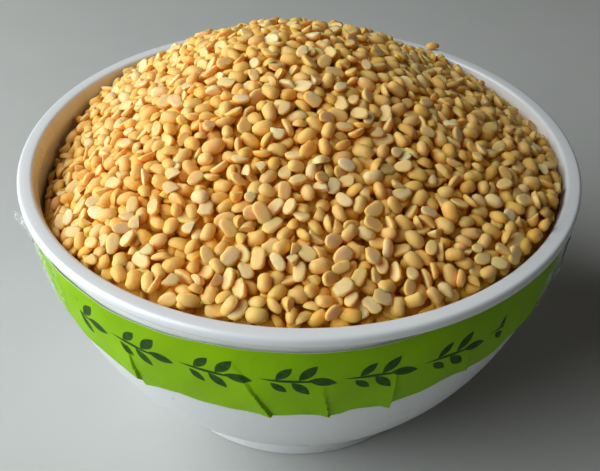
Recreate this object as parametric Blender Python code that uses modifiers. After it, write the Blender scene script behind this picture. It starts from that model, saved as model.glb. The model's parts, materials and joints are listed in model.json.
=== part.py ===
# A bowl of dry split lentils, heaped above its lip, with a paper strip held round the wall by clear tape.
# Units are metres, +Z is up, and the origin is on the bowl's axis at the level it stands on.

import math
import random

import bmesh
import bpy
from mathutils import Matrix, Vector
from mathutils.geometry import delaunay_2d_cdt

MM = 0.001
TOUCH_GAP = 0.3 * MM

# Bowl
LIP_RADIUS = 68.0 * MM
LIP_WIDTH = 3.8 * MM
LIP_FACE_HEIGHT = 2.65 * MM
LIP_ROUND = 0.8 * MM
BOWL_HEIGHT = 71.0 * MM
WALL_TOP_RADIUS = 65.5 * MM
WALL_THICKNESS = 2.0 * MM
FOOT_RADIUS = 38.6 * MM
FOOT_HEIGHT = 5.5 * MM
FOOT_RING_WIDTH = 3.4 * MM
FOOT_ROUND = 0.6 * MM
FOOT_RECESS = 4.0 * MM
BELLY_OUT = 1.9 * MM
BELLY_DROP = 14.5 * MM
HIP_OUT = 21.4 * MM
HIP_RISE = 18.1 * MM
WALL_POINTS = 8
BOWL_SEGMENTS = 52

# Heap of lentils
HEAP_PEAK = 24.8 * MM
HEAP_APEX = (-5.0 * MM, 4.0 * MM)
HEAP_ROUNDNESS = 0.45
# Stretches where the heap meets the wall off the lip's level: middle angle, half width, drop
HEAP_EDGE_DROPS = (
    (190.0, 40.0, 10.5 * MM),
    (158.0, 40.0, 4.8 * MM),
    (22.0, 50.0, 3.8 * MM),
    (89.0, 36.0, -1.8 * MM),
)
HEAP_SKIRT_TOP_DROP = 14.0 * MM
HEAP_FLOOR_GAP = 0.4 * MM

# Lentils
LENTIL_LENGTH = 4.4 * MM
LENTIL_WIDTH = 3.2 * MM
LENTIL_THICKNESS = 1.9 * MM
LENTIL_ROOT = 1.5 * MM
BUMP_COUNT = 780
BUMP_RISE = 0.9 * MM
BUMP_DIP = 0.9 * MM
LOOSE_COUNT = 54
GOLDEN_TURN = math.pi * (3.0 - math.sqrt(5.0))

# One lentil that has rolled onto the lip
STRAY_ANGLE = 54.7
STRAY_YAW = 20.0

# Paper strip, as drops below the lip's top at angles round the axis, with -90 at the front
BAND_ENDS = (-156.0, -24.0)
BAND_THICKNESS = 0.25 * MM
SKIN_WALL_POINTS = 60
BAND_COLUMNS = 44
BAND_ROWS = 4
BAND_TOP_EDGE = (
    (-156.0, 7.4 * MM),
    (-136.0, 6.1 * MM),
    (-118.0, 6.1 * MM),
    (-103.0, 5.4 * MM),
    (-79.0, 5.3 * MM),
    (-65.0, 4.1 * MM),
    (-50.0, 4.0 * MM),
    (-38.0, 5.3 * MM),
    (-24.0, 7.2 * MM),
)
BAND_LOWER_EDGE = (
    (-156.0, 21.5 * MM),
    (-133.0, 23.8 * MM),
    (-122.5, 24.9 * MM),
    (-120.5, 27.4 * MM),
    (-113.0, 25.4 * MM),
    (-97.0, 25.8 * MM),
    (-94.5, 26.4 * MM),
    (-90.0, 25.3 * MM),
    (-83.0, 27.0 * MM),
    (-79.0, 25.1 * MM),
    (-72.0, 26.2 * MM),
    (-70.0, 24.6 * MM),
    (-60.0, 21.7 * MM),
    (-48.0, 22.8 * MM),
    (-24.0, 20.0 * MM),
)

# Clear tape past each end of the strip
TAPE_SPAN = 16.0
TAPE_TOP_DROP = 4.2 * MM
TAPE_LOWER_DROP = 19.0 * MM
TAPE_POINT_DROP = 8.0 * MM
TAPE_THICKNESS = 0.2 * MM
TAPE_COLUMNS = 6


def clear_scene():
    for old in list(bpy.data.objects):
        bpy.data.objects.remove(old, do_unlink=True)


def named_collection(name):
    collection = bpy.data.collections.new(name)
    bpy.context.scene.collection.children.link(collection)
    return collection


def principled(name, colour, roughness, alpha=1.0):
    material = bpy.data.materials.new(name)
    material.use_nodes = True
    shader = material.node_tree.nodes["Principled BSDF"]
    shader.inputs["Base Color"].default_value = (*colour, 1.0)
    shader.inputs["Roughness"].default_value = roughness
    shader.inputs["Metallic"].default_value = 0.0
    shader.inputs["Alpha"].default_value = alpha
    return material


def object_from_bmesh(name, bm, collection, material):
    mesh = bpy.data.meshes.new(name)
    bm.to_mesh(mesh)
    bm.free()
    piece = bpy.data.objects.new(name, mesh)
    collection.objects.link(piece)
    if material:
        mesh.materials.append(material)
    return piece


def arc(centre_r, centre_z, radius, start, end, steps):
    points = []
    for i in range(steps + 1):
        angle = math.radians(start + (end - start) * i / steps)
        points.append((centre_r + radius * math.cos(angle), centre_z + radius * math.sin(angle)))
    return points


def interpolate(x, table):
    for (x0, y0), (x1, y1) in zip(table, table[1:]):
        if x <= x1:
            return y0 + (y1 - y0) * max(0.0, (x - x0) / (x1 - x0))
    return table[-1][1]


# The outer wall swells under the lip and then runs in to the foot in one curve
def wall_curve(t):
    top = Vector((WALL_TOP_RADIUS, BOWL_HEIGHT - LIP_FACE_HEIGHT))
    foot = Vector((FOOT_RADIUS, FOOT_HEIGHT))
    belly = top + Vector((BELLY_OUT, -BELLY_DROP))
    hip = foot + Vector((HIP_OUT, HIP_RISE))
    s = 1.0 - t
    point = s**3 * top + 3 * s * s * t * belly + 3 * s * t * t * hip + t**3 * foot
    slope = s * s * (belly - top) + 2 * s * t * (hip - belly) + t * t * (foot - hip)
    normal = Vector((-slope.y, slope.x)).normalized()
    return point, normal


def wall_points(offset, count=WALL_POINTS):
    points = []
    for i in range(count + 1):
        point, normal = wall_curve(i / count)
        moved = point + normal * offset
        points.append((moved.x, moved.y))
    return points


# Radius of the wall at a height, moved out by an offset or in by a negative one
def wall_radius(z, offset, count=WALL_POINTS):
    rising = [(height, radius) for radius, height in reversed(wall_points(offset, count))]
    return interpolate(z, rising)


def bowl_profile():
    inner_wall = list(reversed(wall_points(-WALL_THICKNESS)))
    floor_z = inner_wall[0][1]
    inner_edge = LIP_RADIUS - LIP_WIDTH
    top_round_z = BOWL_HEIGHT - LIP_ROUND
    outer_round_r = LIP_RADIUS - LIP_ROUND
    lower_round_z = BOWL_HEIGHT - LIP_FACE_HEIGHT + LIP_ROUND
    profile = [(0.0, floor_z)]
    profile += inner_wall
    profile += arc(inner_edge + LIP_ROUND, top_round_z, LIP_ROUND, 180, 90, 2)
    profile += arc(outer_round_r, top_round_z, LIP_ROUND, 90, 0, 2)
    profile += arc(outer_round_r, lower_round_z, LIP_ROUND, 0, -90, 2)
    profile += wall_points(0.0)
    profile += arc(FOOT_RADIUS - FOOT_ROUND, FOOT_ROUND, FOOT_ROUND, 0, -90, 2)
    profile.append((FOOT_RADIUS - FOOT_RING_WIDTH, 0.0))
    profile.append((FOOT_RADIUS - FOOT_RING_WIDTH - FOOT_ROUND, FOOT_RECESS))
    profile.append((0.0, FOOT_RECESS))
    return profile


def make_bowl(collection, material):
    bm = bmesh.new()
    previous = None
    for radius, z in bowl_profile():
        vertex = bm.verts.new((radius, 0.0, z))
        if previous:
            bm.edges.new((previous, vertex))
        previous = vertex
    bowl = object_from_bmesh("bowl", bm, collection, material)
    turn = bowl.modifiers.new("turn", "SCREW")
    turn.axis = "Z"
    turn.angle = math.tau
    turn.steps = BOWL_SEGMENTS
    turn.render_steps = BOWL_SEGMENTS
    turn.use_merge_vertices = True
    turn.merge_threshold = 0.01 * MM
    turn.use_smooth_shade = True
    return bowl


# How far the heap's edge lies above the lip's top where it meets the wall
def heap_edge(angle):
    level = 0.0
    for middle, half_width, drop in HEAP_EDGE_DROPS:
        away = abs((math.degrees(angle) - middle + 180.0) % 360.0 - 180.0)
        if away < half_width:
            level -= drop * math.cos(0.5 * math.pi * away / half_width) ** 2
    return level


# A rounded cone from an apex a little behind the middle, down to the edge in every direction
def heap_height(x, y):
    reach = LIP_RADIUS - LIP_WIDTH
    apex_x, apex_y = HEAP_APEX
    away_x = x - apex_x
    away_y = y - apex_y
    away = math.hypot(away_x, away_y) + 1e-9
    along = (apex_x * away_x + apex_y * away_y) / away
    to_wall = math.sqrt(along**2 + reach**2 - apex_x**2 - apex_y**2) - along
    share = min(away / to_wall, 1.0)
    angle = math.atan2(apex_y + away_y * to_wall / away, apex_x + away_x * to_wall / away)
    k = HEAP_ROUNDNESS
    fall = (math.hypot(share, k) - k) / (math.hypot(1.0, k) - k)
    edge = heap_edge(angle)
    return BOWL_HEIGHT + edge + (HEAP_PEAK - edge) * (1.0 - fall)


# The heap's upward direction at a place, worked out from the heights round it
def heap_normal(x, y):
    step = 1.0 * MM
    slope_x = (heap_height(x + step, y) - heap_height(x - step, y)) / (2 * step)
    slope_y = (heap_height(x, y + step) - heap_height(x, y - step)) / (2 * step)
    return Vector((-slope_x, -slope_y, 1.0)).normalized()


def sunflower(count, radius, shift, seed):
    rng = random.Random(seed)
    points = []
    for i in range(count):
        r = radius * math.sqrt((i + 0.5) / count)
        turn = i * GOLDEN_TURN
        x = r * math.cos(turn) + rng.uniform(-shift, shift)
        y = r * math.sin(turn) + rng.uniform(-shift, shift)
        points.append((x, y))
    return points


def heap_ring_point(i):
    angle = math.tau * i / BOWL_SEGMENTS
    z = BOWL_HEIGHT + heap_edge(angle)
    radius = wall_radius(z, -WALL_THICKNESS) - TOUCH_GAP
    radius = min(radius, LIP_RADIUS - LIP_WIDTH - TOUCH_GAP)
    return Vector((radius * math.cos(angle), radius * math.sin(angle), z))


# The top of the heap, a raised cell for each lentil: triangles between the cells' middles are
# poked, and their old edges are turned so that they run along the hollows between the cells
def heap_top():
    rng = random.Random(5)
    reach = LIP_RADIUS - LIP_WIDTH - 2.0 * MM
    ring = [heap_ring_point(i) for i in range(BOWL_SEGMENTS)]
    middles = sunflower(BUMP_COUNT, reach, 0.6 * MM, 11)
    middles = [Vector(p) for p in middles if math.hypot(*p) < reach]
    places = [p.xy for p in ring] + middles
    ring_edges = [(i, (i + 1) % BOWL_SEGMENTS) for i in range(BOWL_SEGMENTS)]
    verts, _, faces, _, _, _ = delaunay_2d_cdt(places, ring_edges, [], 1, 1e-6)
    bm = bmesh.new()
    made = [bm.verts.new((p.x, p.y, 0.0)) for p in verts]
    for face in faces:
        bm.faces.new([made[i] for i in face])
    rim = {v for v in bm.verts if v.is_boundary}
    between = [e for e in bm.edges if not e.is_boundary]
    poked = bmesh.ops.poke(bm, faces=bm.faces[:])
    hollows = set(poked["verts"])
    bmesh.ops.rotate_edges(bm, edges=between, use_ccw=False)
    for v in bm.verts:
        if v in rim:
            angle = math.atan2(v.co.y, v.co.x)
            v.co.z = BOWL_HEIGHT + heap_edge(angle)
        elif v in hollows:
            v.co.z = heap_height(v.co.x, v.co.y) - BUMP_DIP * rng.uniform(0.7, 1.2)
        else:
            v.co.z = heap_height(v.co.x, v.co.y) + BUMP_RISE * rng.uniform(0.5, 1.4)
    return bm


# Below its top the heap fills the bowl, a hair clear of the wall and the floor
def close_heap_below(bm):
    heights = [z for _, z in wall_points(-WALL_THICKNESS)]
    levels = [z for z in heights[:-1] if z < BOWL_HEIGHT - HEAP_SKIRT_TOP_DROP]
    levels.append(heights[-1] + HEAP_FLOOR_GAP)
    edges = [e for e in bm.edges if e.is_boundary]
    for z in levels:
        radius = wall_radius(z, -WALL_THICKNESS) - TOUCH_GAP
        grown = bmesh.ops.extrude_edge_only(bm, edges=edges)["geom"]
        edges = [item for item in grown if isinstance(item, bmesh.types.BMEdge)]
        for v in [item for item in grown if isinstance(item, bmesh.types.BMVert)]:
            angle = math.atan2(v.co.y, v.co.x)
            v.co = Vector((radius * math.cos(angle), radius * math.sin(angle), z))
    bmesh.ops.contextual_create(bm, geom=edges)
    bmesh.ops.recalc_face_normals(bm, faces=bm.faces[:])


# Half a bean: a low dome with squarish ends over a nearly flat face, long side along X
def lentil_bmesh(length, width, dome, root):
    bm = bmesh.new()
    bmesh.ops.create_uvsphere(bm, u_segments=6, v_segments=4, radius=1.0)
    for v in bm.verts:
        squared = 1.0 + 0.12 * (1.0 - abs(v.co.z)) * math.cos(2.0 * math.atan2(v.co.y, v.co.x)) ** 2
        v.co.x *= 0.5 * length * squared
        v.co.y *= 0.5 * width * squared
        v.co.z *= dome if v.co.z > 0.0 else root
    return bm


# Loose lentils, spread evenly and each pressed into the heap deeper than the hollows round it
def make_loose_lentils(collection):
    rng = random.Random(23)
    reach = LIP_RADIUS - LIP_WIDTH - 5.0 * MM
    for x, y in sunflower(LOOSE_COUNT, reach, 1.5 * MM, 31):
        size = rng.uniform(0.88, 1.12)
        bm = lentil_bmesh(size * LENTIL_LENGTH, size * LENTIL_WIDTH, size * LENTIL_THICKNESS, LENTIL_ROOT)
        grain = object_from_bmesh("loose_lentil", bm, collection, None)
        lie = heap_normal(x, y).to_track_quat("Z", "Y").to_matrix().to_4x4()
        yaw = Matrix.Rotation(rng.uniform(0.0, math.tau), 4, "Z")
        tilt = Matrix.Rotation(math.radians(rng.uniform(-22.0, 22.0)), 4, "X")
        place = Matrix.Translation((x, y, heap_height(x, y)))
        grain.matrix_world = place @ lie @ yaw @ tilt


# Joining can leave small scraps and closed hollows: only the outer skin, the widest piece, stays
def keep_outer_skin(mesh):
    bm = bmesh.new()
    bm.from_mesh(mesh)
    waiting = set(bm.verts)
    shells = []
    while waiting:
        shell = [waiting.pop()]
        for v in shell:
            for edge in v.link_edges:
                other = edge.other_vert(v)
                if other in waiting:
                    waiting.remove(other)
                    shell.append(other)
        shells.append(shell)
    shells.sort(key=len)
    scraps = [v for shell in shells[:-1] for v in shell]
    bmesh.ops.delete(bm, geom=scraps, context="VERTS")
    bm.to_mesh(mesh)
    bm.free()


def make_heap(collection, loose, material):
    bm = heap_top()
    close_heap_below(bm)
    heap = object_from_bmesh("lentil_heap", bm, collection, material)
    make_loose_lentils(loose)
    union = heap.modifiers.new("fused lentils", "BOOLEAN")
    union.operation = "UNION"
    union.solver = "EXACT"
    union.operand_type = "COLLECTION"
    union.collection = loose
    bpy.context.view_layer.update()
    joined = bpy.data.meshes.new_from_object(heap.evaluated_get(bpy.context.evaluated_depsgraph_get()))
    heap.modifiers.clear()
    heap.data = joined
    for grain in list(loose.objects):
        bpy.data.objects.remove(grain, do_unlink=True)
    keep_outer_skin(joined)
    return heap


def make_stray_lentil(collection, material):
    bm = lentil_bmesh(LENTIL_LENGTH, LENTIL_WIDTH, 0.85 * LENTIL_THICKNESS, 0.15 * LENTIL_THICKNESS)
    stray = object_from_bmesh("stray_lentil", bm, collection, material)
    angle = math.radians(STRAY_ANGLE)
    radius = LIP_RADIUS - 0.3 * LIP_WIDTH
    z = BOWL_HEIGHT + TOUCH_GAP + 0.15 * LENTIL_THICKNESS
    stray.location = (radius * math.cos(angle), radius * math.sin(angle), z)
    stray.rotation_euler.z = math.radians(STRAY_YAW)
    return stray


# A skin on the wall between two edges, both given as drops below the lip's top by angle
def wall_skin(name, ends, top_edge, lower_edge, columns, rows, collection, material):
    bm = bmesh.new()
    bmesh.ops.create_grid(bm, x_segments=columns, y_segments=rows, size=0.5)
    for v in bm.verts:
        degrees = ends[0] + (ends[1] - ends[0]) * (v.co.x + 0.5)
        top_drop = interpolate(degrees, top_edge)
        lower_drop = interpolate(degrees, lower_edge)
        z = BOWL_HEIGHT - lower_drop + (lower_drop - top_drop) * (v.co.y + 0.5)
        radius = wall_radius(z, TOUCH_GAP, SKIN_WALL_POINTS)
        angle = math.radians(degrees)
        v.co = Vector((radius * math.cos(angle), radius * math.sin(angle), z))
    return object_from_bmesh(name, bm, collection, material)


def thicken(piece, thickness):
    wall = piece.modifiers.new("thickness", "SOLIDIFY")
    wall.thickness = thickness
    wall.offset = 1.0
    return piece


def make_paper_band(collection, material):
    band = wall_skin(
        "paper_band",
        BAND_ENDS,
        BAND_TOP_EDGE,
        BAND_LOWER_EDGE,
        BAND_COLUMNS,
        BAND_ROWS,
        collection,
        material,
    )
    return thicken(band, BAND_THICKNESS)


# Each tape end runs on from the strip and narrows to a torn point
def make_tape_end(name, start, direction, collection, material):
    near = start + direction * math.degrees(TOUCH_GAP / LIP_RADIUS)
    far = near + direction * TAPE_SPAN
    top_edge = sorted([(near, TAPE_TOP_DROP), (far, TAPE_TOP_DROP)])
    lower_edge = sorted([(near, TAPE_LOWER_DROP), (far, TAPE_POINT_DROP)])
    ends = (min(near, far), max(near, far))
    tape = wall_skin(name, ends, top_edge, lower_edge, TAPE_COLUMNS, BAND_ROWS, collection, material)
    return thicken(tape, TAPE_THICKNESS)


def main():
    clear_scene()
    dish = named_collection("dish_of_lentils")
    loose = named_collection("loose_lentils")
    glaze = principled("white_plastic", (0.80, 0.82, 0.83), 0.28)
    lentil = principled("split_lentil", (0.78, 0.50, 0.16), 0.50)
    paper = principled("green_paper", (0.24, 0.44, 0.02), 0.35)
    clear = principled("clear_tape", (0.85, 0.90, 0.85), 0.15, 0.4)
    make_bowl(dish, glaze)
    make_heap(dish, loose, lentil)
    make_stray_lentil(dish, lentil)
    make_paper_band(dish, paper)
    make_tape_end("tape_left", BAND_ENDS[0], -1.0, dish, clear)
    make_tape_end("tape_right", BAND_ENDS[1], 1.0, dish, clear)
    bpy.data.collections.remove(loose)


main()
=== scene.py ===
import json
import math
import random

import bpy
import numpy as np
from mathutils import Matrix, Vector

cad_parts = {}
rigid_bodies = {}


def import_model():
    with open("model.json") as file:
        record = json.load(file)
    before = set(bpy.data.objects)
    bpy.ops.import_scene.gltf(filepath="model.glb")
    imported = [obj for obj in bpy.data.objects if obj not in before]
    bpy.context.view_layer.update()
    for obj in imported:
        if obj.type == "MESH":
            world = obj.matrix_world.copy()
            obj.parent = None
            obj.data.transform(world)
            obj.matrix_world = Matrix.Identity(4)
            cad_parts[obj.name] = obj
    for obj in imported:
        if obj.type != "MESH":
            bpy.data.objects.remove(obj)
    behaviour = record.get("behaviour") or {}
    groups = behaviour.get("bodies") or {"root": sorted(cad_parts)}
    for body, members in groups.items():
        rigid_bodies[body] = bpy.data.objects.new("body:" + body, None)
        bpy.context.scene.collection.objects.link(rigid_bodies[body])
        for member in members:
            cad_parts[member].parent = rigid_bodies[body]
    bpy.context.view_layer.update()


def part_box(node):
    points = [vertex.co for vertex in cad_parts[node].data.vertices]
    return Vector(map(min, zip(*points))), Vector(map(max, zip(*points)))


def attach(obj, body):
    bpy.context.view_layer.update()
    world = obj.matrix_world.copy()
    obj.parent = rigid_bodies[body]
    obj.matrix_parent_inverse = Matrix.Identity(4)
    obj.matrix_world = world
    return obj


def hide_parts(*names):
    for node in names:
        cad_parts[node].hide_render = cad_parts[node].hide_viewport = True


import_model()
mm = 0.001
print("frame loaded")


# Small helpers

def deselectAll():
    for thing in bpy.context.view_layer.objects:
        thing.select_set(False)


def makeActive(piece):
    deselectAll()
    piece.select_set(True)
    bpy.context.view_layer.objects.active = piece


def startEdit(piece):
    makeActive(piece)
    bpy.ops.object.mode_set(mode="EDIT")
    bpy.ops.mesh.select_mode(type="VERT")
    bpy.ops.mesh.select_all(action="DESELECT")


def endEdit():
    bpy.ops.object.mode_set(mode="OBJECT")


# Selects the vertices whose place passes a test, and leaves edit mode on
def pickVertices(piece, test):
    bpy.ops.mesh.select_all(action="DESELECT")
    bpy.ops.object.mode_set(mode="OBJECT")
    for vertex in piece.data.vertices:
        vertex.select = bool(test(vertex.co))
    bpy.ops.object.mode_set(mode="EDIT")


def moveBy(x, y, z):
    bpy.ops.transform.translate(value=(x, y, z))


def scaleBy(x, y, z, about=(0.0, 0.0, 0.0)):
    bpy.ops.transform.resize(value=(x, y, z), center_override=about)


def applyModifier(piece, kind, **values):
    makeActive(piece)
    modifier = piece.modifiers.new(kind.lower(), kind)
    for name, value in values.items():
        setattr(modifier, name, value)
    bpy.ops.object.modifier_apply(modifier=modifier.name)


def smoothByAngle(piece, degrees):
    makeActive(piece)
    bpy.ops.object.shade_smooth_by_angle(angle=math.radians(degrees))


def readVertices(piece):
    flat = np.empty(len(piece.data.vertices) * 3, dtype=np.float32)
    piece.data.vertices.foreach_get("co", flat)
    return flat.reshape(-1, 3).astype(float)


def writeVertices(piece, points):
    piece.data.vertices.foreach_set("co", np.asarray(points, dtype=np.float32).ravel())
    piece.data.update()


def writeAttribute(piece, name, values):
    values = np.asarray(values, dtype=np.float32)
    kind, field = ("FLOAT", "value") if values.ndim == 1 else ("FLOAT_VECTOR", "vector")
    attribute = piece.data.attributes.new(name=name, type=kind, domain="POINT")
    attribute.data.foreach_set(field, values.ravel())


def dress(piece, material, nodes):
    piece.data.materials.clear()
    piece.data.materials.append(material)
    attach(piece, "root")
    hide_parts(*nodes)
    return piece


def arcPoints(centreR, centreZ, radius, start, end, steps):
    turns = [math.radians(start + (end - start) * i / steps) for i in range(steps + 1)]
    return [(centreR + radius * math.cos(a), centreZ + radius * math.sin(a)) for a in turns]


# Camera, at the photograph's viewing angle

cameraLook = dict(
    place=(0.0, -189.1 * mm, 190.4 * mm),
    pitch=52.03,
    yaw=-0.12,
    roll=1.04,
    lens=54.0,
)


def addCamera():
    data = bpy.data.cameras.new("camera")
    data.lens = cameraLook["lens"]
    data.sensor_width = 36.0
    data.clip_start = 0.01
    camera = bpy.data.objects.new("camera", data)
    bpy.context.scene.collection.objects.link(camera)
    yaw = Matrix.Rotation(math.radians(cameraLook["yaw"]), 4, "Z")
    pitch = Matrix.Rotation(math.radians(cameraLook["pitch"]), 4, "X")
    roll = Matrix.Rotation(math.radians(cameraLook["roll"]), 4, "Z")
    camera.matrix_world = Matrix.Translation(cameraLook["place"]) @ yaw @ pitch @ roll
    bpy.context.scene.camera = camera


addCamera()
print("camera set")


# Shared effects, each a node group built once

def newGroup(name, inputs, outputs):
    group = bpy.data.node_groups.new(name, "ShaderNodeTree")
    for label, kind, value in inputs:
        socket = group.interface.new_socket(label, in_out="INPUT", socket_type=kind)
        if value is not None:
            socket.default_value = value
    for label, kind in outputs:
        group.interface.new_socket(label, in_out="OUTPUT", socket_type=kind)
    start = group.nodes.new("NodeGroupInput")
    end = group.nodes.new("NodeGroupOutput")
    return group, start, end


def connect(tree, value, socket):
    if isinstance(value, bpy.types.NodeSocket):
        tree.links.new(value, socket)
    else:
        socket.default_value = value


def mathNode(tree, operation, *values, clamp=False):
    node = tree.nodes.new("ShaderNodeMath")
    node.operation = operation
    node.use_clamp = clamp
    for socket, value in zip(node.inputs, values):
        connect(tree, value, socket)
    return node.outputs["Value"]


# Mottling: soft noise between two limits, at a size in waves a metre
def mottleGroup():
    inputs = [
        ("Vector", "NodeSocketVector", None),
        ("Size", "NodeSocketFloat", 200.0),
        ("Low", "NodeSocketFloat", 0.0),
        ("High", "NodeSocketFloat", 1.0),
    ]
    group, start, end = newGroup("mottle", inputs, [("Value", "NodeSocketFloat")])
    noise = group.nodes.new("ShaderNodeTexNoise")
    noise.inputs["Detail"].default_value = 3.0
    noise.inputs["Roughness"].default_value = 0.55
    spread = group.nodes.new("ShaderNodeMapRange")
    spread.inputs["From Min"].default_value = 0.3
    spread.inputs["From Max"].default_value = 0.7
    link = group.links.new
    link(start.outputs["Vector"], noise.inputs["Vector"])
    link(start.outputs["Size"], noise.inputs["Scale"])
    link(noise.outputs["Fac"], spread.inputs["Value"])
    link(start.outputs["Low"], spread.inputs["To Min"])
    link(start.outputs["High"], spread.inputs["To Max"])
    link(spread.outputs["Result"], end.inputs["Value"])
    return group


mottle = mottleGroup()


def newMaterial(name):
    material = bpy.data.materials.new(name)
    material.use_nodes = True
    return material, material.node_tree, material.node_tree.nodes["Principled BSDF"]


def placeMottle(tree, size, low, high, vector=None):
    node = tree.nodes.new("ShaderNodeGroup")
    node.node_tree = mottle
    node.inputs["Size"].default_value = size
    node.inputs["Low"].default_value = low
    node.inputs["High"].default_value = high
    if vector is None:
        vector = tree.nodes.new("ShaderNodeTexCoord").outputs["Object"]
    tree.links.new(vector, node.inputs["Vector"])
    return node.outputs["Value"]


def readAttribute(tree, name, output="Fac"):
    node = tree.nodes.new("ShaderNodeAttribute")
    node.attribute_name = name
    return node.outputs[output]


def mixColours(tree, factor, first, second):
    mix = tree.nodes.new("ShaderNodeMix")
    mix.data_type = "RGBA"
    connect(tree, factor, mix.inputs["Factor"])
    for label, value in (("A", first), ("B", second)):
        socket = next(s for s in mix.inputs if s.name == label and s.type == "RGBA")
        connect(tree, value if isinstance(value, bpy.types.NodeSocket) else (*value, 1.0), socket)
    return next(s for s in mix.outputs if s.type == "RGBA")


def addBump(tree, shader, height, strength, distance):
    bump = tree.nodes.new("ShaderNodeBump")
    bump.inputs["Strength"].default_value = strength
    bump.inputs["Distance"].default_value = distance
    tree.links.new(height, bump.inputs["Height"])
    tree.links.new(bump.outputs["Normal"], shader.inputs["Normal"])


# Bowl

bowlShape = dict(
    lipRadius=68.0 * mm,
    lipWidth=3.8 * mm,
    lipFaceHeight=2.65 * mm,
    lipRound=0.95 * mm,
    height=71.0 * mm,
    wallTop=(65.5 * mm, 68.35 * mm),
    belly=(1.9 * mm, -14.5 * mm),
    hip=(21.4 * mm, 18.1 * mm),
    foot=(38.6 * mm, 5.5 * mm),
    thickness=2.0 * mm,
    footRing=3.4 * mm,
    footRound=0.6 * mm,
    recess=4.0 * mm,
    floorCorner=3.0 * mm,
    wallSteps=26,
    segments=144,
)


# A point of the outer wall's curve from under the lip (0) to the foot (1), moved out along its normal
def wallPoint(t, offset):
    top = Vector(bowlShape["wallTop"])
    foot = Vector(bowlShape["foot"])
    belly = top + Vector(bowlShape["belly"])
    hip = foot + Vector(bowlShape["hip"])
    s = 1.0 - t
    point = s**3 * top + 3 * s * s * t * belly + 3 * s * t * t * hip + t**3 * foot
    slope = s * s * (belly - top) + 2 * s * t * (hip - belly) + t * t * (foot - hip)
    normal = Vector((-slope.y, slope.x)).normalized()
    return tuple(point + normal * offset)


# Radius and outward normal of the outer wall at given heights
wallTable = np.array([wallPoint(1.0 - i / 200, 0.0) for i in range(201)])
wallSlopes = np.gradient(wallTable, axis=0)
wallNormals = np.stack([wallSlopes[:, 1], -wallSlopes[:, 0]], axis=1)
wallNormals /= np.linalg.norm(wallNormals, axis=1)[:, None]


# Places on the wall at angles in degrees and drops below the lip's top, stood off along the normal
def onWall(angle, drop, offset):
    z = bowlShape["height"] - drop
    radius = np.interp(z, wallTable[:, 1], wallTable[:, 0])
    normalR = np.interp(z, wallTable[:, 1], wallNormals[:, 0])
    normalZ = np.interp(z, wallTable[:, 1], wallNormals[:, 1])
    radius = radius + normalR * offset
    turn = np.radians(angle)
    return np.stack([radius * np.cos(turn), radius * np.sin(turn), z + normalZ * offset], axis=-1)


def bowlProfile():
    b = bowlShape
    steps = b["wallSteps"]
    innerWall = [wallPoint(1.0 - i / steps, -b["thickness"]) for i in range(steps + 1)]
    topZ = b["height"] - b["lipRound"]
    lowZ = b["height"] - b["lipFaceHeight"] + b["lipRound"]
    innerR = b["lipRadius"] - b["lipWidth"] + b["lipRound"]
    outerR = b["lipRadius"] - b["lipRound"]
    footR = b["foot"][0]
    ringR = footR - b["footRing"]
    points = [(0.0, innerWall[0][1]), (innerWall[0][0] - b["floorCorner"], innerWall[0][1])]
    points += innerWall[1:]
    points += arcPoints(innerR, topZ, b["lipRound"], 180, 90, 5)
    points += arcPoints(outerR, topZ, b["lipRound"], 90, 0, 5)
    points += arcPoints(outerR, lowZ, b["lipRound"], 0, -90, 5)
    points += [wallPoint(i / steps, 0.0) for i in range(steps + 1)]
    points += [(footR, b["foot"][1] * 0.6)]
    points += arcPoints(footR - b["footRound"], b["footRound"], b["footRound"], 0, -90, 4)
    points += arcPoints(ringR + b["footRound"], b["footRound"], b["footRound"], -90, -180, 3)
    points += [(ringR - 0.4 * mm, b["recess"]), (0.0, b["recess"])]
    return points


# A turned piece: one point extruded along its profile, from the axis out and back to it, then spun
def turnPiece(name, profile, segments):
    deselectAll()
    bpy.ops.mesh.primitive_plane_add(size=2.0 * mm)
    piece = bpy.context.object
    piece.name = name
    startEdit(piece)
    bpy.ops.mesh.select_all(action="SELECT")
    bpy.ops.mesh.merge(type="CENTER")
    moveBy(profile[0][0], 0.0, profile[0][1])
    for (r, z), (nextR, nextZ) in zip(profile, profile[1:]):
        step = (nextR - r, 0.0, nextZ - z)
        bpy.ops.mesh.extrude_vertices_move(TRANSFORM_OT_translate=dict(value=step))
    bpy.ops.mesh.select_all(action="SELECT")
    bpy.ops.mesh.spin(steps=segments, angle=math.tau, center=(0.0, 0.0, 0.0), axis=(0.0, 0.0, 1.0))
    bpy.ops.mesh.select_all(action="SELECT")
    bpy.ops.mesh.remove_doubles(threshold=0.01 * mm)
    bpy.ops.mesh.normals_make_consistent(inside=False)
    endEdit()
    return piece


bowlLook = dict(
    white=(0.82, 0.84, 0.86),
    shaded=(0.78, 0.80, 0.82),
)


def bowlMaterial():
    material, tree, shader = newMaterial("whitePlastic")
    tint = placeMottle(tree, 18.0, 0.0, 1.0)
    colour = mixColours(tree, tint, bowlLook["shaded"], bowlLook["white"])
    tree.links.new(colour, shader.inputs["Base Color"])
    wear = placeMottle(tree, 40.0, 0.26, 0.31)
    tree.links.new(wear, shader.inputs["Roughness"])
    shader.inputs["Coat Weight"].default_value = 0.3
    shader.inputs["Coat Roughness"].default_value = 0.15
    return material


def makeBowl():
    bowl = turnPiece("bowlTurned", bowlProfile(), bowlShape["segments"])
    smoothByAngle(bowl, 40)
    return dress(bowl, bowlMaterial(), ["bowl"])


makeBowl()
print("bowl turned")


# The heap's form, the same as the solid's

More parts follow.
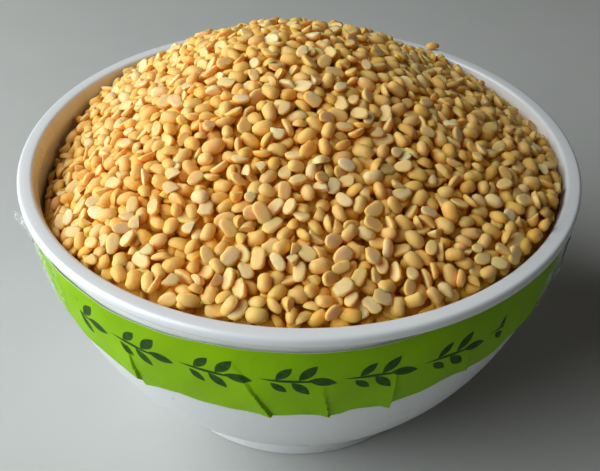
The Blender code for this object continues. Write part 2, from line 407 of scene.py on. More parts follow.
heapShape = dict(
    peak=24.8 * mm,
    apex=(-5.0 * mm, 4.0 * mm),
    roundness=0.45,
    edgeDrops=(
        (190.0, 40.0, 10.5 * mm),
        (158.0, 40.0, 4.8 * mm),
        (22.0, 50.0, 3.8 * mm),
        (89.0, 36.0, -1.8 * mm),
    ),
    crustDepth=5.0 * mm,
    coreRings=40,
    coreSegments=120,
    coreRoughness=0.6 * mm,
    coreGap=0.4 * mm,
)
heapReach = bowlShape["lipRadius"] - bowlShape["lipWidth"]


def heapEdge(angle):
    level = np.zeros_like(angle)
    for middle, halfWidth, drop in heapShape["edgeDrops"]:
        away = np.abs((np.degrees(angle) - middle + 180.0) % 360.0 - 180.0)
        near = np.cos(0.5 * np.pi * np.minimum(away / halfWidth, 1.0)) ** 2
        level = level - drop * near
    return level


def heapHeight(x, y):
    x, y = np.asarray(x, float), np.asarray(y, float)
    apexX, apexY = heapShape["apex"]
    awayX, awayY = x - apexX, y - apexY
    away = np.hypot(awayX, awayY) + 1e-9
    along = (apexX * awayX + apexY * awayY) / away
    toWall = np.sqrt(along**2 + heapReach**2 - apexX**2 - apexY**2) - along
    share = np.minimum(away / toWall, 1.0)
    angle = np.arctan2(apexY + awayY * toWall / away, apexX + awayX * toWall / away)
    k = heapShape["roundness"]
    fall = (np.hypot(share, k) - k) / (np.hypot(1.0, k) - k)
    edge = heapEdge(angle)
    return bowlShape["height"] + edge + (heapShape["peak"] - edge) * (1.0 - fall)


# The core under the loose lentils: turned to fill the bowl, its top then raised to the heap's form
def makeCore():
    h = heapShape
    thickness = bowlShape["thickness"] + h["coreGap"]
    steps = bowlShape["wallSteps"]
    innerWall = [wallPoint(i / steps, -thickness) for i in range(4, steps)]
    rim = innerWall[0][0]
    level = bowlShape["height"]
    profile = [(rim * i / h["coreRings"], level) for i in range(h["coreRings"] + 1)]
    profile += innerWall
    floorZ = innerWall[-1][1]
    profile += [(0.0, floorZ)]
    core = turnPiece("heapCore", profile, h["coreSegments"])
    points = readVertices(core)
    top = points[:, 2] > level - 0.1 * mm
    rng = np.random.default_rng(3)
    rough = rng.uniform(-1.0, 1.0, top.sum()) * h["coreRoughness"]
    points[top, 2] = heapHeight(points[top, 0], points[top, 1]) - h["crustDepth"] + rough
    lowest = points[top, 2].min()
    side = ~top & (points[:, 2] > lowest - 1.0 * mm)
    edge = heapHeight(points[side, 0], points[side, 1]) - h["crustDepth"] - 1.0 * mm
    points[side, 2] = np.minimum(points[side, 2], edge)
    writeVertices(core, points)
    smoothByAngle(core, 60)
    return core


# Loose lentils: one modelled lentil for each kind, copied many hundred times

grainShape = dict(
    segments=12,
    rings=6,
    halfLength=2.2 * mm,
    halfWidth=1.45 * mm,
    dome=1.25 * mm,
    seat=0.35 * mm,
    wholeThickness=1.32 * mm,
    taper=0.06,
    bend=0.05,
)


def startGrain(name):
    deselectAll()
    bpy.ops.mesh.primitive_uv_sphere_add(
        segments=grainShape["segments"], ring_count=grainShape["rings"], radius=1.0
    )
    grain = bpy.context.object
    grain.name = name
    startEdit(grain)
    return grain


# The sides drawn out a little, so that the ends are blunt and not pointed
def squareOutline(grain, longer, wider):
    pickVertices(grain, lambda co: abs(co.x) > 0.25 and abs(co.y) > 0.25)
    scaleBy(longer, wider, 1.0)


# The lower half pressed flat, with a round rim and the middle of the face slightly dished
def flattenFace(grain):
    pickVertices(grain, lambda co: co.z < -0.1)
    scaleBy(1.12, 1.12, 0.32)
    pickVertices(grain, lambda co: co.z < -0.2)
    scaleBy(1.43, 1.43, 1.0)
    pickVertices(grain, lambda co: co.z < -0.2 and co.xy.length < 0.1)
    moveBy(0.0, 0.0, 0.1)


# Real size, with the origin near the middle of the bean's weight
def finishGrain(grain, thickness, seat):
    bpy.ops.mesh.select_all(action="SELECT")
    scaleBy(grainShape["halfLength"], grainShape["halfWidth"], thickness)
    moveBy(0.0, 0.0, -seat)
    bpy.ops.mesh.normals_make_consistent(inside=False)
    endEdit()
    return grain


def eggHalf():
    grain = startGrain("eggHalf")
    squareOutline(grain, 1.04, 1.1)
    pickVertices(grain, lambda co: co.x > 0.3)
    scaleBy(1.0, 0.88, 0.94)
    flattenFace(grain)
    return finishGrain(grain, grainShape["dome"], grainShape["seat"])


def bluntHalf():
    grain = startGrain("bluntHalf")
    squareOutline(grain, 1.09, 1.18)
    pickVertices(grain, lambda co: co.x > 0.3)
    scaleBy(1.0, 1.08, 1.0)
    pickVertices(grain, lambda co: co.x > 0.9)
    moveBy(-0.14, 0.0, 0.0)
    flattenFace(grain)
    return finishGrain(grain, grainShape["dome"], grainShape["seat"])


def dentedHalf():
    grain = startGrain("dentedHalf")
    squareOutline(grain, 1.06, 1.14)
    pickVertices(grain, lambda co: co.y < -0.7 and abs(co.x) < 0.6)
    moveBy(0.0, 0.16, 0.0)
    pickVertices(grain, lambda co: abs(co.x) < 0.4 and co.y > 0.4)
    scaleBy(1.0, 1.06, 1.0)
    flattenFace(grain)
    return finishGrain(grain, grainShape["dome"], grainShape["seat"])


def wholeBean():
    grain = startGrain("wholeBean")
    squareOutline(grain, 1.04, 1.1)
    pickVertices(grain, lambda co: abs(co.x) > 0.4 and co.yz.length > 0.3)
    scaleBy(1.0, 1.03, 1.08)
    return finishGrain(grain, grainShape["wholeThickness"], 0.0)


def brokenBit():
    grain = startGrain("brokenBit")
    flattenFace(grain)
    bpy.ops.mesh.select_all(action="SELECT")
    bpy.ops.mesh.bisect(
        plane_co=(0.15, 0.0, 0.0), plane_no=(0.9, 0.35, 0.2), use_fill=True, clear_outer=True
    )
    bpy.ops.mesh.select_all(action="SELECT")
    moveBy(0.35, 0.0, 0.0)
    return finishGrain(grain, grainShape["dome"], grainShape["seat"])


# Each kind of lentil: its own model, its share of the heap, and the smooth bean that stands for it
grainKinds = dict(
    eggHalves=dict(model=eggHalf, share=0.33, bean="half"),
    bluntHalves=dict(model=bluntHalf, share=0.28, bean="half"),
    dentedHalves=dict(model=dentedHalf, share=0.2, bean="half"),
    wholeBeans=dict(model=wholeBean, share=0.11, bean="whole"),
    brokenBits=dict(model=brokenBit, share=0.08, bean="bit"),
)

# How the lentils are laid: on a square grid of heights, which each one raises where it comes to lie
pileShape = dict(
    cell=0.25 * mm,
    patch=2.75 * mm,
    wall=63.75 * mm,
    wallTop=1.0,
    reach=63.2 * mm,
    tries=15000,
    looks=9,
    shifts=7,
    roam=1.5 * mm,
    shallow=0.4 * mm,
    sink=0.18 * mm,
    patience=0.6 * mm,
    rollSpread=20.0,
    pitchSpread=12.0,
    onEdge=0.12,
    edgeRoll=(45.0, 85.0),
    steepest=1.1,
    sizes=(0.88, 1.12),
    stretches=(0.93, 1.07),
    outside=63.8 * mm,
    proud=0.3 * mm,
    faceUp=0.42,
)

# The smooth bean that stands for a lentil while it is laid: its half sizes and how high its middle is
beanForms = dict(
    half=((2.15 * mm, 1.45 * mm, 0.84 * mm), 0.07 * mm),
    whole=((2.15 * mm, 1.42 * mm, 1.28 * mm), 0.0),
    bit=((1.5 * mm, 1.15 * mm, 0.8 * mm), 0.07 * mm),
)


# The grid's line of places, the heap's form on it and the bare core's height, with the bowl's wall stood up
def startGround():
    p = pileShape
    side = int(p["wall"] / p["cell"]) + 2 * int(p["patch"] / p["cell"])
    line = np.arange(-side, side + 1) * p["cell"]
    x, y = np.meshgrid(line, line, indexing="ij")
    target = heapHeight(x, y)
    ground = target - heapShape["crustDepth"]
    ground[np.hypot(x, y) > p["wall"]] = p["wallTop"]
    return line, target, ground


# The deepest of a few places looked at, less how often nothing found room there
def deepestSpot(rng, target, ground, tired):
    p = pileShape
    side = len(ground) // 2
    spots = []
    for look in range(p["looks"]):
        radius = p["reach"] * math.sqrt(rng.random())
        bearing = rng.uniform(0.0, 2.0 * math.pi)
        i = side + round(radius * math.cos(bearing) / p["cell"])
        j = side + round(radius * math.sin(bearing) / p["cell"])
        spots.append((target[i, j] - ground[i, j] - tired[i, j], i, j))
    return max(spots)


# The next lentil: its kind, how it is stretched, how it lies on a slope, and whether its flat face is up
def nextLentil(rng):
    p = pileShape
    names = list(grainKinds)
    kind = rng.choices(names, [grainKinds[name]["share"] for name in names])[0]
    size = rng.uniform(*p["sizes"])
    stretch = np.array([size * rng.uniform(*p["stretches"]) for axis in range(3)])
    yaw = rng.uniform(0.0, 2.0 * math.pi)
    roll = rng.gauss(0.0, p["rollSpread"])
    if rng.random() < p["onEdge"]:
        roll = rng.choice((-1.0, 1.0)) * rng.uniform(*p["edgeRoll"])
    pitch = rng.gauss(0.0, p["pitchSpread"])
    return kind, stretch, (yaw, roll, pitch), rng.random() < p["faceUp"]


# The turn of a lentil that lies along a slope, rolled and pitched a little off it
def restingTurn(slopeX, slopeY, yaw, roll, pitch):
    up = np.array([-slopeX, -slopeY, 1.0])
    up /= np.linalg.norm(up)
    ahead = np.array([math.cos(yaw), math.sin(yaw), 0.0])
    ahead -= up * (ahead @ up)
    ahead /= np.linalg.norm(ahead)
    turn = np.column_stack([ahead, np.cross(up, ahead), up])
    tipped = Matrix.Rotation(math.radians(roll), 3, "X") @ Matrix.Rotation(math.radians(pitch), 3, "Y")
    return turn @ np.array(tipped)


# Where a turned bean covers a patch of the grid, and the height of its lower and upper side there
def beanSides(turn, radii, across, along):
    form = turn @ np.diag(1.0 / np.square(radii)) @ turn.T
    slope = form[0, 2] * across + form[1, 2] * along
    rest = form[0, 0] * across**2 + 2.0 * form[0, 1] * across * along + form[1, 1] * along**2 - 1.0
    inside = slope**2 - form[2, 2] * rest
    root = np.sqrt(np.maximum(inside, 0.0))
    return inside > 0.0, (-slope - root) / form[2, 2], (-slope + root) / form[2, 2]


def patchAt(ground, i, j):
    half = int(pileShape["patch"] / pileShape["cell"])
    return ground[i - half : i + half + 1, j - half : j + half + 1]


# How a bean rests on a patch: its turn, its middle's height, where it covers the patch and its upper side
def restOn(patch, radii, lie):
    p = pileShape
    half = len(patch) // 2
    span = np.arange(-half, half + 1) * p["cell"]
    across, along = np.meshgrid(span, span, indexing="ij")
    near = np.where(patch < 0.5 * p["wallTop"], patch, patch[half, half])
    width = p["patch"] + p["cell"]
    slopeX = (near[half + 1 :].mean() - near[:half].mean()) / width
    slopeY = (near[:, half + 1 :].mean() - near[:, :half].mean()) / width
    steep = max(1.0, math.hypot(slopeX, slopeY) / p["steepest"])
    turn = restingTurn(slopeX / steep, slopeY / steep, *lie)
    covers, lower, upper = beanSides(turn, radii, across, along)
    height = (patch - lower)[covers].max() - p["sink"]
    return turn, height, covers, upper


# Where the lentils lie: each tries a few spots round a hollow and rests at the lowest of them
def pilePlaces():
    p = pileShape
    rng = random.Random(11)
    line, target, ground = startGround()
    tired = np.zeros_like(ground)
    roam = int(p["roam"] / p["cell"])
    kept = {name: [] for name in grainKinds}
    for attempt in range(p["tries"]):
        depth, i, j = deepestSpot(rng, target, ground, tired)
        kind, stretch, lie, faceUp = nextLentil(rng)
        if depth < p["shallow"]:
            continue
        radii, middle = beanForms[grainKinds[kind]["bean"]]
        rests = []
        for shift in range(p["shifts"]):
            a = i + rng.randint(-roam, roam) * (shift > 0)
            b = j + rng.randint(-roam, roam) * (shift > 0)
            if ground[a, b] < 0.5 * p["wallTop"]:
                rest = restOn(patchAt(ground, a, b), np.array(radii) * stretch, lie)
                rests.append((rest[1] - target[a, b], a, b, rest))
        if not rests or min(rests, key=lambda found: found[0])[0] > p["proud"]:
            tired[i - 2 : i + 3, j - 2 : j + 3] += p["patience"]
            continue
        proud, a, b, (turn, height, covers, upper) = min(rests, key=lambda found: found[0])
        patch = patchAt(ground, a, b)
        patch[covers] = np.maximum(patch, height + upper)[covers]
        if faceUp:
            turn = turn @ np.diag([1.0, -1.0, -1.0])
        matrix = np.eye(4)
        matrix[:3, :3] = turn * stretch
        matrix[:3, 3] = np.array([line[a], line[b], height]) - turn[:, 2] * middle * stretch[2]
        kept[kind].append(matrix)
    return kept


# Many copies of one lentil joined in one mesh, each a little tapered and bent in its own way
def joinGrains(name, model, matrices, seed):
    base = readVertices(model)
    faces = [list(face.vertices) for face in model.data.polygons]
    rng = np.random.default_rng(seed)
    count, corners = len(matrices), len(base)
    taper = rng.normal(0.0, grainShape["taper"], count)[:, None]
    bend = rng.normal(0.0, grainShape["bend"], count)[:, None]
    along = base[:, 0] / grainShape["halfLength"]
    points = np.repeat(base[None], count, axis=0)
    points[:, :, 1] = base[:, 1] * (1.0 + taper * along) + bend * grainShape["halfWidth"] * along**2
    spins = np.array([matrix[:3, :3] for matrix in matrices])
    places = np.array([matrix[:3, 3] for matrix in matrices])
    points = np.einsum("nij,nvj->nvi", spins, points) + places[:, None]
    over = np.hypot(points[:, :, 0], points[:, :, 1]).max(axis=1) - pileShape["outside"]
    away = places[:, :2] / np.linalg.norm(places[:, :2], axis=1)[:, None]
    points[:, :, :2] -= (np.maximum(over, 0.0)[:, None] * away)[:, None]
    joinedFaces = [[corner + i * corners for corner in face] for i in range(count) for face in faces]
    mesh = bpy.data.meshes.new(name)
    mesh.from_pydata(points.reshape(-1, 3).tolist(), [], joinedFaces)
    piece = bpy.data.objects.new(name, mesh)
    bpy.context.scene.collection.objects.link(piece)
    seat = grainShape["seat"]
    onFace = (base[:, 2] < -seat - 0.19 * grainShape["dome"]) & ("Beans" not in name)
    writeAttribute(piece, "tone", np.repeat(rng.beta(2.2, 2.2, count), corners))
    writeAttribute(piece, "pale", np.repeat(rng.random(count), corners))
    writeAttribute(piece, "shade", np.repeat(rng.random(count), corners))
    writeAttribute(piece, "splitFace", np.tile(onFace.astype(float), count))
    # Painted shade: the deeper a point lies below the heap's surface, the more the lentil material turns it
    # amber, for the warm shade in the gaps
    flatPoints = points.reshape(-1, 3)
    paintedGapShade = heapHeight(flatPoints[:, 0], flatPoints[:, 1]) + 0.5 * mm - flatPoints[:, 2]
    writeAttribute(piece, "paintedGapShade", np.clip(paintedGapShade / (3.0 * mm), 0.0, 1.0))
    sizes = (grainShape["halfLength"], grainShape["halfWidth"], grainShape["dome"])
    writeAttribute(piece, "ownPlace", np.tile(base / sizes, (count, 1)))
    smoothByAngle(piece, 66)
    return piece


lentilLook = dict(
    lightGold=(0.97, 0.64, 0.255),
    deepGold=(0.96, 0.51, 0.10),
    rosy=(0.97, 0.55, 0.24),
    # The amber below is the lentils' own patchy tone, and also painted shade on the deeper lentils
    amberToneAndGapShade=(0.98, 0.49, 0.045),
    cream=(0.96, 0.75, 0.45),
    # The core's two colours are painted shade: a darker, redder amber for the gaps between the loose
    # lentils
    coreShadeDarker=(0.80, 0.33, 0.02),
    coreShadeLighter=(0.90, 0.45, 0.04),
)


def lentilMaterial():
    look = lentilLook
    material, tree, shader = newMaterial("splitLentil")
    tone = readAttribute(tree, "tone")
    colour = mixColours(tree, tone, look["lightGold"], look["deepGold"])
    shade = mathNode(tree, "MULTIPLY_ADD", readAttribute(tree, "shade"), 1.6, -0.9, clamp=True)
    colour = mixColours(tree, shade, colour, look["rosy"])
    colour = mixColours(tree, placeMottle(tree, 420.0, 0.0, 0.3), colour, look["amberToneAndGapShade"])
    pale = readAttribute(tree, "pale")
    split = readAttribute(tree, "splitFace")
    palest = mathNode(tree, "MULTIPLY", pale, pale)
    palest = mathNode(tree, "MULTIPLY_ADD", palest, 0.55, 0.28)
    colour = mixColours(tree, mathNode(tree, "MULTIPLY", palest, split), colour, look["cream"])
    rare = mathNode(tree, "GREATER_THAN", pale, 0.95)
    colour = mixColours(tree, mathNode(tree, "MULTIPLY", rare, 0.55), colour, look["cream"])
    # Painted shade: lentils lying deeper in the heap are mixed towards amber, for the warm shade between
    # them
    paintedGapShade = mathNode(tree, "MULTIPLY", readAttribute(tree, "paintedGapShade"), 0.95)
    colour = mixColours(tree, paintedGapShade, colour, look["amberToneAndGapShade"])
    tree.links.new(colour, shader.inputs["Base Color"])
    tree.links.new(placeMottle(tree, 900.0, 0.47, 0.63), shader.inputs["Roughness"])
    shader.inputs["Subsurface Weight"].default_value = 0.9
    shader.inputs["Subsurface Radius"].default_value = (1.0, 0.48, 0.13)
    shader.inputs["Subsurface Scale"].default_value = 1.5 * mm
    shader.inputs["Specular IOR Level"].default_value = 0.4
    own = tree.nodes.new("ShaderNodeSeparateXYZ")
    tree.links.new(readAttribute(tree, "ownPlace", "Vector"), own.inputs["Vector"])
    aside = mathNode(tree, "ABSOLUTE", own.outputs["Y"])
    cleft = mathNode(tree, "MULTIPLY", mathNode(tree, "MULTIPLY", aside, 2.5, clamp=True), split)
    fine = placeMottle(tree, 1500.0, 0.0, 0.5)
    addBump(tree, shader, mathNode(tree, "ADD", cleft, fine), 0.3, 0.12 * mm)
    return material


# The core stands for the buried lentils; its darker, redder amber is painted shade for the gaps between the
# loose lentils
def coreMaterial():
    material, tree, shader = newMaterial("buriedLentilShade")
    grain = placeMottle(tree, 260.0, 0.0, 1.0)
    colour = mixColours(tree, grain, lentilLook["coreShadeDarker"], lentilLook["coreShadeLighter"])
    tree.links.new(colour, shader.inputs["Base Color"])
    shader.inputs["Roughness"].default_value = 0.7
    addBump(tree, shader, placeMottle(tree, 350.0, 0.0, 1.0), 0.6, 0.8 * mm)
    return material


def makeHeap():
    core = makeCore()
    kept = pilePlaces()
    print("lentils laid:", sum(len(matrices) for matrices in kept.values()))
    skin = lentilMaterial()
    for seed, (name, matrices) in enumerate(kept.items()):
        model = grainKinds[name]["model"]()
        piece = joinGrains(name, model, matrices, 40 + seed)
        bpy.data.objects.remove(model)
        dress(piece, skin, ["lentil_heap"])
    dress(core, coreMaterial(), ["lentil_heap"])
    return skin


lentilSkin = makeHeap()
print("heap made")


# The lentil left on the lip at the back right

strayShape = dict(yaw=20.0, tilt=4.0, rise=0.05 * mm)


def makeStray():
    low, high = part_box("stray_lentil")
    stray = eggHalf()
    stray.name = "strayLentil"
    applyModifier(stray, "SUBSURF", levels=1, render_levels=1)
    points = readVertices(stray)
    turn = np.array(
        Matrix.Rotation(math.radians(strayShape["yaw"]), 3, "Z")
        @ Matrix.Rotation(math.radians(strayShape["tilt"]), 3, "Y")
    )
    points = points @ turn.T
    centre = (low + high) / 2.0
    shift = np.array([centre.x, centre.y, low.z + strayShape["rise"] - points[:, 2].min()])
    writeVertices(stray, points + shift)
    count = len(points)
    writeAttribute(stray, "tone", np.full(count, 0.45))
    writeAttribute(stray, "pale", np.full(count, 0.4))
    writeAttribute(stray, "shade", np.full(count, 0.5))
    writeAttribute(stray, "splitFace", np.zeros(count))
    writeAttribute(stray, "paintedGapShade", np.zeros(count))
    writeAttribute(stray, "ownPlace", np.zeros((count, 3)))
    smoothByAngle(stray, 52)
    dress(stray, lentilSkin, ["stray_lentil"])


makeStray()


# Green paper strip round the front of the wall

stripShape = dict(
    ends=(-156.0, -24.0),
    columns=396,
    rows=44,
    gap=0.4 * mm,
    paper=0.14 * mm,
    printRadius=64.0,
    topEdge=(
        (-156.0, 7.4), (-145.0, 7.0), (-136.5, 6.1), (-127.0, 6.3), (-118.0, 6.1), (-110.0, 5.8),
        (-103.0, 5.4), (-89.0, 5.4), (-79.0, 5.3), (-72.0, 4.7), (-65.0, 4.0), (-56.0, 4.2),
        (-50.0, 3.9), (-45.0, 4.2), (-38.0, 5.3), (-30.0, 6.5), (-24.0, 7.2),
    ),
    lowerEdge=(
        (-156.0, 21.5), (-140.0, 23.2), (-133.0, 23.8), (-127.4, 24.7), (-124.2, 25.1), (-121.8, 24.9),
        (-121.5, 27.9), (-118.0, 26.3), (-112.8, 25.3), (-108.7, 26.0), (-104.5, 25.6), (-96.7, 25.8),
        (-94.3, 26.4), (-92.9, 26.0), (-89.2, 25.2), (-85.4, 25.9), (-83.4, 27.1), (-81.5, 26.6),
        (-79.7, 25.3), (-77.8, 24.9), (-73.8, 25.2), (-71.9, 26.4), (-71.3, 24.9), (-69.8, 24.6),
        (-65.7, 23.7), (-61.7, 21.9), (-59.5, 21.6), (-56.9, 22.0), (-51.3, 22.7), (-46.8, 22.9),
        (-44.0, 21.5), (-24.0, 20.0),
    ),
    # Pleats: angle and drop where each starts and ends, how far it stands up and how wide it rises
    pleats=(
        (-122.6, 12.0, -121.7, 27.0, 0.9, 5.0),
        (-101.6, 7.7, -94.4, 26.4, 0.8, 5.5),
        (-85.2, 14.0, -83.6, 27.0, 0.6, 4.0),
        (-72.0, 11.0, -71.7, 26.0, 0.7, 4.0),
        (-56.5, 14.0, -55.6, 22.0, 0.45, 3.0),
    ),
)


# How far the paper stands off the wall: a soft buckle between pleats, and a step at each pleat's fold
def stripRelief(angle, drop):
    share = np.clip((drop - 6.0) / 20.0, 0.0, 1.2)
    relief = 0.16 * share * (1.0 + np.sin(np.radians(angle) * 11.0 + 0.8))
    relief = relief + 0.07 * np.sin(np.radians(angle) * 29.0 + drop * 0.35)
    relief = relief + 0.25 * np.clip(share - 0.7, 0.0, 1.0) * (1.0 + np.sin(np.radians(angle) * 23.0))
    for startAngle, startDrop, endAngle, endDrop, stand, width in stripShape["pleats"]:
        along = (drop - startDrop) / (endDrop - startDrop)
        fold = startAngle + (endAngle - startAngle) * along
        away = np.radians(angle - fold) * stripShape["printRadius"]
        rise = np.clip(1.0 + away / width, 0.0, 1.0) ** 1.5 * (away <= 0.0)
        relief = relief + stand * rise * np.clip(along, 0.0, 1.1)
    return relief * mm


def makeStrip():
    s = stripShape
    deselectAll()
    bpy.ops.mesh.primitive_grid_add(x_subdivisions=s["columns"], y_subdivisions=s["rows"], size=2.0)
    strip = bpy.context.object
    strip.name = "paperStrip"
    flat = readVertices(strip)
    across, down = (flat[:, 0] + 1.0) / 2.0, (1.0 - flat[:, 1]) / 2.0
    angle = s["ends"][0] + (s["ends"][1] - s["ends"][0]) * across
    top = np.interp(angle, *np.array(s["topEdge"]).T)
    low = np.interp(angle, *np.array(s["lowerEdge"]).T)
    drop = top + (low - top) * down
    writeVertices(strip, onWall(angle, drop * mm, s["gap"] + stripRelief(angle, drop)))
    along = np.radians(angle + 90.0) * s["printRadius"]
    writeAttribute(strip, "strip", np.stack([along, drop, np.zeros_like(drop)], axis=1))
    startEdit(strip)
    bpy.ops.mesh.select_all(action="SELECT")
    bpy.ops.mesh.normals_make_consistent(inside=False)
    endEdit()
    middle = strip.data.polygons[len(strip.data.polygons) // 2]
    if middle.normal.dot(Vector((middle.center.x, middle.center.y, 0.0))) < 0.0:
        strip.data.flip_normals()
    strip.data.materials.append(paperMaterial())
    strip.data.materials.append(paperEdgeMaterial())
    applyModifier(
        strip, "SOLIDIFY", thickness=s["paper"], offset=1.0, material_offset_rim=1, use_rim=True
    )
    smoothByAngle(strip, 35)
    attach(strip, "root")
    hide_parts("paper_band")


# A pointed leaf in a flat field of millimetres: 1 inside, 0 outside
def leafGroup():
    inputs = [
        ("Along", "NodeSocketFloat", 0.0),
        ("Across", "NodeSocketFloat", 0.0),
        ("Centre Along", "NodeSocketFloat", 0.0),
        ("Centre Across", "NodeSocketFloat", 0.0),
        ("Turn", "NodeSocketFloat", 0.0),
        ("Half Length", "NodeSocketFloat", 3.0),
        ("Half Width", "NodeSocketFloat", 1.0),
    ]
    group, start, end = newGroup("leaf", inputs, [("Mask", "NodeSocketFloat")])
    get = start.outputs
    along = mathNode(group, "SUBTRACT", get["Along"], get["Centre Along"])
    across = mathNode(group, "SUBTRACT", get["Across"], get["Centre Across"])
    cosine = mathNode(group, "COSINE", get["Turn"])
    sine = mathNode(group, "SINE", get["Turn"])
    first = mathNode(group, "MULTIPLY", along, cosine)
    first = mathNode(group, "MULTIPLY_ADD", across, sine, first)
    second = mathNode(group, "MULTIPLY", across, cosine)
    second = mathNode(group, "SUBTRACT", second, mathNode(group, "MULTIPLY", along, sine))
    share = mathNode(group, "DIVIDE", first, get["Half Length"])
    room = mathNode(group, "SUBTRACT", 1.0, mathNode(group, "MULTIPLY", share, share))
    edge = mathNode(group, "MULTIPLY", room, get["Half Width"])
    inside = mathNode(group, "SUBTRACT", edge, mathNode(group, "ABSOLUTE", second))
    mask = mathNode(group, "MULTIPLY_ADD", inside, 6.0, 0.5, clamp=True)
    group.links.new(mask, end.inputs["Mask"])
    return group


stripLook = dict(
    green=(0.27, 0.52, 0.001),
    deepGreen=(0.22, 0.44, 0.001),
    print=(0.016, 0.055, 0.01),
    cutEdge=(0.62, 0.72, 0.38),
    cutFibres=(0.75, 0.8, 0.6),
    repeat=16.5,
    middle=13.4,
    printFrom=-50.5,
    printTo=47.0,
    # Leaves of one sprig: along, across, turn in degrees, half length, half width
    leaves=(
        (5.2, 0.3, 10.0, 2.9, 1.25),
        (2.3, -2.4, -50.0, 2.8, 1.2),
        (0.9, 2.4, 48.0, 2.7, 1.15),
        (-2.4, -2.2, -48.0, 2.4, 1.05),
        (-3.4, 2.1, 44.0, 2.2, 0.95),
        (-1.0, 0.0, 3.0, 6.4, 0.42),
    ),
)


def paperMaterial():
    look = stripLook
    leaf = leafGroup()
    material, tree, shader = newMaterial("greenPaper")
    field = readAttribute(tree, "strip", "Vector")
    parts = tree.nodes.new("ShaderNodeSeparateXYZ")
    tree.links.new(field, parts.inputs["Vector"])
    along, drop = parts.outputs["X"], parts.outputs["Y"]
    cell = mathNode(tree, "WRAP", along, look["repeat"] / 2.0, -look["repeat"] / 2.0)
    across = mathNode(tree, "SUBTRACT", drop, look["middle"])
    mask = None
    for centreAlong, centreAcross, turn, halfLength, halfWidth in look["leaves"]:
        node = tree.nodes.new("ShaderNodeGroup")
        node.node_tree = leaf
        connect(tree, cell, node.inputs["Along"])
        connect(tree, across, node.inputs["Across"])
        node.inputs["Centre Along"].default_value = centreAlong
        node.inputs["Centre Across"].default_value = centreAcross
        node.inputs["Turn"].default_value = math.radians(turn)
        node.inputs["Half Length"].default_value = halfLength
        node.inputs["Half Width"].default_value = halfWidth
        found = node.outputs["Mask"]
        mask = found if mask is None else mathNode(tree, "MAXIMUM", mask, found)
    after = mathNode(tree, "GREATER_THAN", along, look["printFrom"])
    before = mathNode(tree, "LESS_THAN", along, look["printTo"])
    mask = mathNode(tree, "MULTIPLY", mask, mathNode(tree, "MULTIPLY", after, before))
    ground = mixColours(tree, placeMottle(tree, 45.0, 0.0, 1.0), look["green"], look["deepGreen"])
    ink = mathNode(tree, "MULTIPLY", mask, placeMottle(tree, 900.0, 0.88, 1.0))
    tree.links.new(mixColours(tree, ink, ground, look["print"]), shader.inputs["Base Color"])
    tree.links.new(placeMottle(tree, 300.0, 0.42, 0.55), shader.inputs["Roughness"])
    shader.inputs["Specular IOR Level"].default_value = 0.08
    addBump(tree, shader, placeMottle(tree, 130.0, 0.0, 1.0), 0.35, 0.35 * mm)
    return material


def paperEdgeMaterial():
    material, tree, shader = newMaterial("paperEdge")
    fibres = placeMottle(tree, 1500.0, 0.0, 0.4)
    colour = mixColours(tree, fibres, stripLook["cutEdge"], stripLook["cutFibres"])
    tree.links.new(colour, shader.inputs["Base Color"])
    shader.inputs["Roughness"].default_value = 0.8
    return material


makeStrip()
print("paper strip made")


# Clear tape that holds the ends of the strip

tapeShape = dict(
    columns=64,
    rows=36,
    film=0.1 * mm,
    stand=0.95 * mm,
    crumple=0.3 * mm,
)
tapeEnds = dict(
    tapeLeft=dict(
        node="tape_left",
        angles=(-141.0, -159.0),
        topEdge=((0.0, 5.2), (0.45, 4.2), (1.0, 3.2)),
        lowerEdge=((0.0, 20.0), (0.35, 15.0), (0.6, 9.4), (0.85, 6.2), (1.0, 4.4)),
        flare=((0.0, 0.0), (0.7, 0.2), (1.0, 2.7)),
        seed=5,
    ),
    tapeRight=dict(
        node="tape_right",
        angles=(-36.0, -12.0),
        topEdge=((0.0, 6.4), (0.45, 5.2), (1.0, 4.4)),
        lowerEdge=((0.0, 21.5), (0.4, 19.0), (0.75, 12.5), (1.0, 7.0)),
        flare=((0.0, 0.0), (0.5, 0.5), (0.8, 0.7), (1.0, 1.2)),
        seed=9,
    ),
)


def tapeMaterial():
    material, tree, shader = newMaterial("clearTape")
    shader.inputs["Base Color"].default_value = (0.86, 0.9, 0.86, 1.0)
    cloud = placeMottle(tree, 420.0, -0.3, 0.28)
    tree.links.new(mathNode(tree, "MAXIMUM", cloud, 0.03), shader.inputs["Alpha"])
    tree.links.new(placeMottle(tree, 600.0, 0.1, 0.25), shader.inputs["Roughness"])
    shader.inputs["Coat Weight"].default_value = 0.5
    shader.inputs["Coat Roughness"].default_value = 0.08
    addBump(tree, shader, placeMottle(tree, 500.0, 0.0, 1.0), 0.5, 0.25 * mm)
    return material


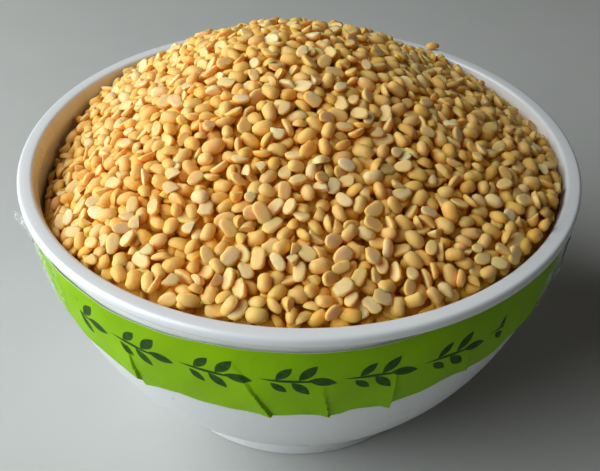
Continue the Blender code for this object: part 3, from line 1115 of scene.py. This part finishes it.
def makeTape(name, values, film):
    t = tapeShape
    deselectAll()
    bpy.ops.mesh.primitive_grid_add(x_subdivisions=t["columns"], y_subdivisions=t["rows"], size=2.0)
    tape = bpy.context.object
    tape.name = name
    flat = readVertices(tape)
    along, down = (flat[:, 0] + 1.0) / 2.0, (1.0 - flat[:, 1]) / 2.0
    start, end = values["angles"]
    top = np.interp(along, *np.array(values["topEdge"]).T)
    low = np.interp(along, *np.array(values["lowerEdge"]).T)
    rng = np.random.default_rng(values["seed"])
    phases = rng.uniform(0.0, math.tau, 6)
    wave = np.sin(along * 17.0 + down * 9.0 + phases[0]) * np.sin(down * 13.0 - along * 7.0 + phases[1])
    wave += 0.6 * np.abs(np.sin(along * 29.0 - down * 21.0 + phases[2]))
    wave += 0.35 * np.sin(along * 61.0 + phases[3]) * np.sin(down * 37.0 + phases[4])
    ragged = 0.35 * np.sin(along * 43.0 + phases[5]) * (down > 0.98)
    drop = top + (low - top) * down + ragged
    angle = start + (end - start) * along
    flare = np.interp(along, *np.array(values["flare"]).T) * mm
    stand = t["stand"] + t["crumple"] * wave + flare
    writeVertices(tape, onWall(angle, drop * mm, stand))
    if end < start:
        tape.data.flip_normals()
    applyModifier(tape, "SOLIDIFY", thickness=t["film"], offset=0.0)
    smoothByAngle(tape, 40)
    dress(tape, film, [values["node"]])


clearFilm = tapeMaterial()
for tapeName, tapeValues in tapeEnds.items():
    makeTape(tapeName, tapeValues, clearFilm)
print("tape made")


# Floor, world and lights

studioLook = dict(
    floorSize=4.0,
    floor=(0.52, 0.53, 0.51),
    world=(0.97, 0.90, 0.79),
    worldStrength=0.052,
    keyPlace=(-0.49, -0.11, 0.365),
    keyAim=(0.0, 0.0, 0.06),
    keySize=0.85,
    keyPower=6.9,
    keyColour=(0.94, 0.985, 1.0),
)


def addFloor():
    deselectAll()
    bpy.ops.mesh.primitive_plane_add(size=studioLook["floorSize"])
    floor = bpy.context.object
    floor.name = "floor"
    material, tree, shader = newMaterial("floor")
    deeper = tuple(0.97 * c for c in studioLook["floor"])
    colour = mixColours(tree, placeMottle(tree, 30.0, 0.0, 1.0), studioLook["floor"], deeper)
    tree.links.new(colour, shader.inputs["Base Color"])
    shader.inputs["Roughness"].default_value = 0.7
    floor.data.materials.append(material)


def addWorld():
    world = bpy.data.worlds.new("studio")
    world.use_nodes = True
    background = world.node_tree.nodes["Background"]
    background.inputs["Color"].default_value = (*studioLook["world"], 1.0)
    background.inputs["Strength"].default_value = studioLook["worldStrength"]
    bpy.context.scene.world = world


def addAreaLight(name, place, size, power, colour):
    data = bpy.data.lights.new(name, "AREA")
    data.shape = "DISK"
    data.size = size
    data.energy = power
    data.color = colour
    light = bpy.data.objects.new(name, data)
    bpy.context.scene.collection.objects.link(light)
    aim = Vector(studioLook["keyAim"]) - Vector(place)
    light.matrix_world = Matrix.Translation(place) @ aim.to_track_quat("-Z", "Y").to_matrix().to_4x4()


addFloor()
addWorld()
addAreaLight(
    "key", studioLook["keyPlace"], studioLook["keySize"], studioLook["keyPower"], studioLook["keyColour"]
)
bpy.context.scene.view_settings.view_transform = "Standard"
print("studio lit")
